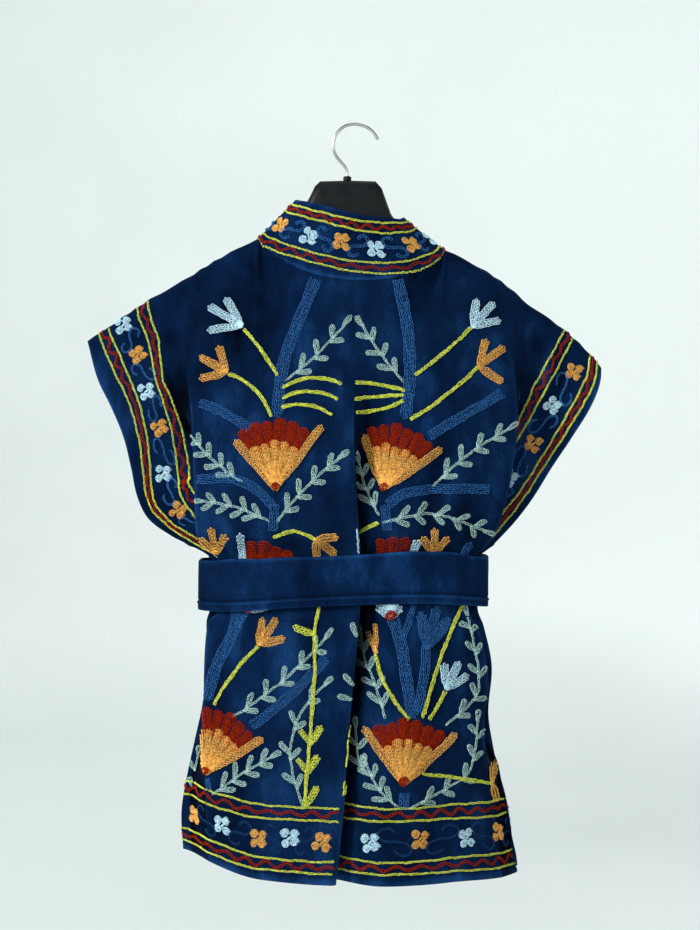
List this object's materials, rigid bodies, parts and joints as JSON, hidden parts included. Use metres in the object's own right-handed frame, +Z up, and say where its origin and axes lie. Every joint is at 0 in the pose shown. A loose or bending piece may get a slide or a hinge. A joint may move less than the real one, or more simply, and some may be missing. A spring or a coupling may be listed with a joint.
{
  "type": "velvet jacket on its hanger",
  "caption": "Short belted velvet jacket with a kimono collar, cut-in-one short sleeves and chain-stitch embroidery, hanging on its suit hanger.",
  "frame": {"origin": "inside of the hook's crest, where a rail or nail carries the hanger", "axes": "+Z up; +Y towards the jacket's front, so that its back faces -Y; +X towards the wearer's right"},
  "size_m": [0.5745, 0.1845, 0.8339],
  "materials": {
    "velvet": "matte",
    "velvet_band": "matte",
    "thread_yellow": "satin",
    "thread_red": "satin",
    "thread_orange": "satin",
    "thread_pale_blue": "satin",
    "thread_sage": "satin",
    "thread_denim": "satin",
    "hanger_plastic": "satin",
    "hook_wire": "polished"
  },
  "bodies": {
    "root": {"back": "velvet", "front_left": "velvet", "front_right": "velvet", "collar_band": "velvet_band", "belt": "velvet_band", "belt_knot": "velvet_band", "belt_end_left": "velvet_band", "belt_end_right": "velvet_band", "hanger_body": "hanger_plastic", "hanger_ferrule": "hanger_plastic", "hanger_hook": "hook_wire"}
  },
  "joints": []
}
